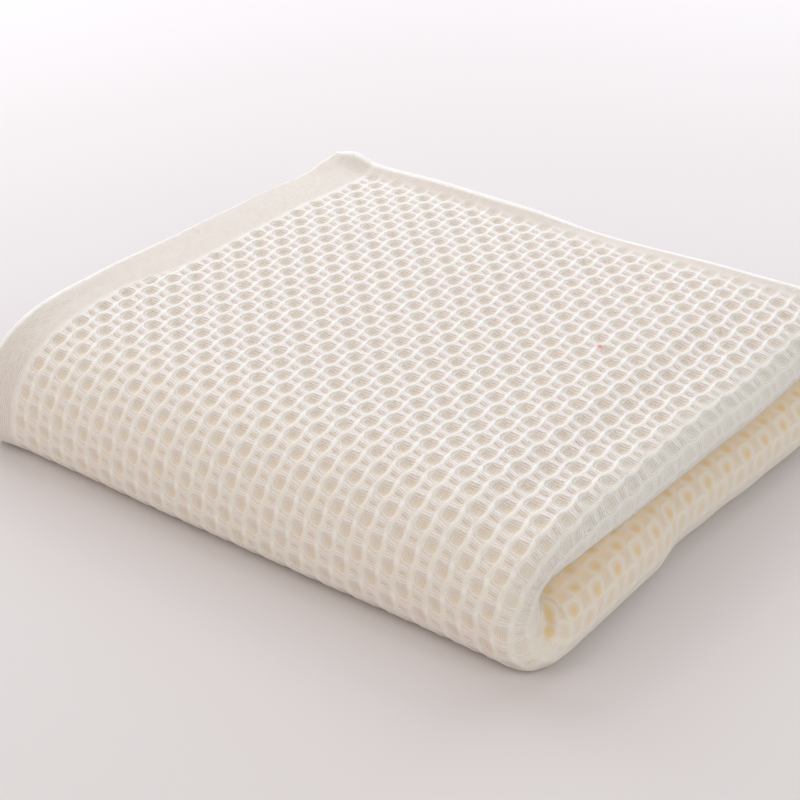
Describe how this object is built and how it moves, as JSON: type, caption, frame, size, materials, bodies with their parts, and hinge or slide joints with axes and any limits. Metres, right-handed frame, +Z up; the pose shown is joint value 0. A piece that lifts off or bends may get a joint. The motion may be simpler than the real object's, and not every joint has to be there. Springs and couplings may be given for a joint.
{
  "type": "hand towel",
  "caption": "Off-white honeycomb-weave cotton hand towel, folded to a flat packet with a round front fold, side noses at one end and smooth hems at the other.",
  "frame": {"origin": "on the surface that the towel lies on, under the middle of its bounding box", "axes": "+X along the front fold, from the hems to the side noses, +Y from the front fold to the selvedges at the back, +Z up"},
  "size_m": [0.1928, 0.1708, 0.0363],
  "materials": {
    "cotton": "matt honeycomb-weave cotton, off-white"
  },
  "bodies": {
    "root": {"towel": "cotton"}
  },
  "joints": []
}
